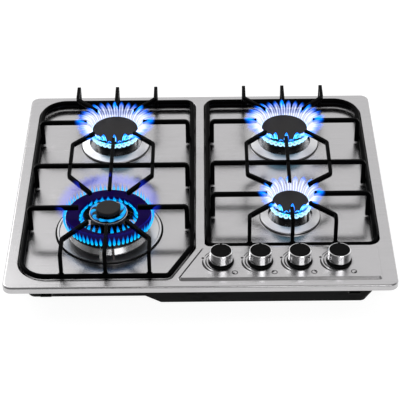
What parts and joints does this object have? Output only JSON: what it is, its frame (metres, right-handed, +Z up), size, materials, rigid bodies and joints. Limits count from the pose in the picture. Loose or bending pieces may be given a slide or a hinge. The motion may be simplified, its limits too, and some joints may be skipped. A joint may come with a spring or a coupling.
{
  "type": "gas cooktop",
  "caption": "Drop-in gas cooktop with a brushed steel top, wire pan supports that lift off, a multi-ring wok burner beside capped burners, and push-and-turn control knobs.",
  "frame": {"origin": "under the middle of the panel, at the underside of the base tray", "axes": "+X to the right seen from the user, +Y to the rear, +Z up"},
  "size_m": [0.58, 0.51, 0.097],
  "materials": {
    "steel_sheet": "brushed stainless sheet",
    "tray_enamel": "satin black",
    "seal_foam": "closed-cell foam strip",
    "zinc_steel": "zinc plated",
    "brass": "machined",
    "tap_alloy": "die cast",
    "pipe_aluminium": "drawn tube",
    "white_ceramic": "glazed",
    "probe_steel": "heat darkened",
    "box_plastic": "moulded",
    "black_rubber": "moulded",
    "cup_aluminium": "cast and brushed",
    "polished_trim": "polished stainless",
    "crown_aluminium": "cast, heat greyed",
    "cap_enamel": "satin enamel",
    "support_enamel": "gloss enamel",
    "knob_chrome": "polished plating",
    "disc_plastic": "gloss"
  },
  "bodies": {
    "hob": {"top_panel": "steel_sheet", "base_tray": "tray_enamel", "rim_seal": "seal_foam", "worktop_clamps": "zinc_steel", "clamp_screws": "zinc_steel", "gas_manifold": "zinc_steel", "inlet_elbow": "brass", "tap_bodies": "tap_alloy", "burner_pipes": "pipe_aluminium", "pipe_nuts": "brass", "injectors": "brass", "cup_screws": "zinc_steel", "ignition_electrodes": "white_ceramic", "electrode_pins": "zinc_steel", "flame_probes": "probe_steel", "spark_box": "box_plastic", "knob_gaskets": "black_rubber", "rear_left_cup": "cup_aluminium", "rear_right_cup": "cup_aluminium", "front_right_cup": "cup_aluminium", "triple_cup": "cup_aluminium", "rear_left_trim_dish": "polished_trim", "rear_right_trim_dish": "polished_trim", "front_right_trim_dish": "polished_trim", "triple_trim_dish": "polished_trim"},
    "left_support": {"left_support_rim_wire": "support_enamel", "left_support_rear_fingers": "support_enamel", "left_support_front_fingers": "support_enamel", "left_support_mid_frame": "support_enamel", "left_support_feet": "black_rubber"},
    "right_support": {"right_support_rim_wire": "support_enamel", "right_support_rear_fingers": "support_enamel", "right_support_front_fingers": "support_enamel", "right_support_mid_frame": "support_enamel", "right_support_feet": "black_rubber"},
    "rear_left_crown": {"rear_left_crown": "crown_aluminium"},
    "rear_left_cap": {"rear_left_cap": "cap_enamel"},
    "rear_right_crown": {"rear_right_crown": "crown_aluminium"},
    "rear_right_cap": {"rear_right_cap": "cap_enamel"},
    "front_right_crown": {"front_right_crown": "crown_aluminium"},
    "front_right_cap": {"front_right_cap": "cap_enamel"},
    "triple_crown": {"triple_crown": "crown_aluminium"},
    "triple_ring_cap": {"triple_ring_cap": "cap_enamel"},
    "triple_inner_cap": {"triple_inner_cap": "cap_enamel"},
    "tap_plug_1": {"tap_plug_1": "brass"},
    "knob_1": {"tap_spindle_1": "zinc_steel", "knob_1": "knob_chrome", "knob_disc_1": "disc_plastic"},
    "tap_plug_2": {"tap_plug_2": "brass"},
    "knob_2": {"tap_spindle_2": "zinc_steel", "knob_2": "knob_chrome", "knob_disc_2": "disc_plastic"},
    "tap_plug_3": {"tap_plug_3": "brass"},
    "knob_3": {"tap_spindle_3": "zinc_steel", "knob_3": "knob_chrome", "knob_disc_3": "disc_plastic"},
    "tap_plug_4": {"tap_plug_4": "brass"},
    "knob_4": {"tap_spindle_4": "zinc_steel", "knob_4": "knob_chrome", "knob_disc_4": "disc_plastic"}
  },
  "joints": [
    {"name": "left_support_lift", "type": "slide", "parent": "hob", "child": "left_support", "axis": [0, 0, 1], "range_m": [0, 0.06]},
    {"name": "right_support_lift", "type": "slide", "parent": "hob", "child": "right_support", "axis": [0, 0, 1], "range_m": [0, 0.06]},
    {"name": "rear_left_crown_lift", "type": "slide", "parent": "hob", "child": "rear_left_crown", "axis": [0, 0, 1], "range_m": [0, 0.05]},
    {"name": "rear_left_cap_lift", "type": "slide", "parent": "rear_left_crown", "child": "rear_left_cap", "axis": [0, 0, 1], "range_m": [0, 0.05]},
    {"name": "rear_right_crown_lift", "type": "slide", "parent": "hob", "child": "rear_right_crown", "axis": [0, 0, 1], "range_m": [0, 0.05]},
    {"name": "rear_right_cap_lift", "type": "slide", "parent": "rear_right_crown", "child": "rear_right_cap", "axis": [0, 0, 1], "range_m": [0, 0.05]},
    {"name": "front_right_crown_lift", "type": "slide", "parent": "hob", "child": "front_right_crown", "axis": [0, 0, 1], "range_m": [0, 0.05]},
    {"name": "front_right_cap_lift", "type": "slide", "parent": "front_right_crown", "child": "front_right_cap", "axis": [0, 0, 1], "range_m": [0, 0.05]},
    {"name": "triple_crown_lift", "type": "slide", "parent": "hob", "child": "triple_crown", "axis": [0, 0, 1], "range_m": [0, 0.01]},
    {"name": "triple_ring_cap_lift", "type": "slide", "parent": "triple_crown", "child": "triple_ring_cap", "axis": [0, 0, 1], "range_m": [0, 0.01]},
    {"name": "triple_inner_cap_lift", "type": "slide", "parent": "triple_crown", "child": "triple_inner_cap", "axis": [0, 0, 1], "range_m": [0, 0.05]},
    {"name": "knob_1_turn", "type": "hinge", "parent": "hob", "child": "tap_plug_1", "pos_m": [0.031, -0.201, 0.04], "axis": [0, 0, 1], "range_deg": [0, 200]},
    {"name": "knob_1_push", "type": "slide", "parent": "tap_plug_1", "child": "knob_1", "axis": [0, 0, -1], "range_m": [0, 0.003], "stiffness_N_per_m": 800, "springref_m": -0.003},
    {"name": "knob_2_turn", "type": "hinge", "parent": "hob", "child": "tap_plug_2", "pos_m": [0.0893, -0.201, 0.04], "axis": [0, 0, 1], "range_deg": [0, 200]},
    {"name": "knob_2_push", "type": "slide", "parent": "tap_plug_2", "child": "knob_2", "axis": [0, 0, -1], "range_m": [0, 0.003], "stiffness_N_per_m": 800, "springref_m": -0.003},
    {"name": "knob_3_turn", "type": "hinge", "parent": "hob", "child": "tap_plug_3", "pos_m": [0.1476, -0.201, 0.04], "axis": [0, 0, 1], "range_deg": [0, 200]},
    {"name": "knob_3_push", "type": "slide", "parent": "tap_plug_3", "child": "knob_3", "axis": [0, 0, -1], "range_m": [0, 0.003], "stiffness_N_per_m": 800, "springref_m": -0.003},
    {"name": "knob_4_turn", "type": "hinge", "parent": "hob", "child": "tap_plug_4", "pos_m": [0.2059, -0.201, 0.04], "axis": [0, 0, 1], "range_deg": [0, 200]},
    {"name": "knob_4_push", "type": "slide", "parent": "tap_plug_4", "child": "knob_4", "axis": [0, 0, -1], "range_m": [0, 0.003], "stiffness_N_per_m": 800, "springref_m": -0.003}
  ]
}
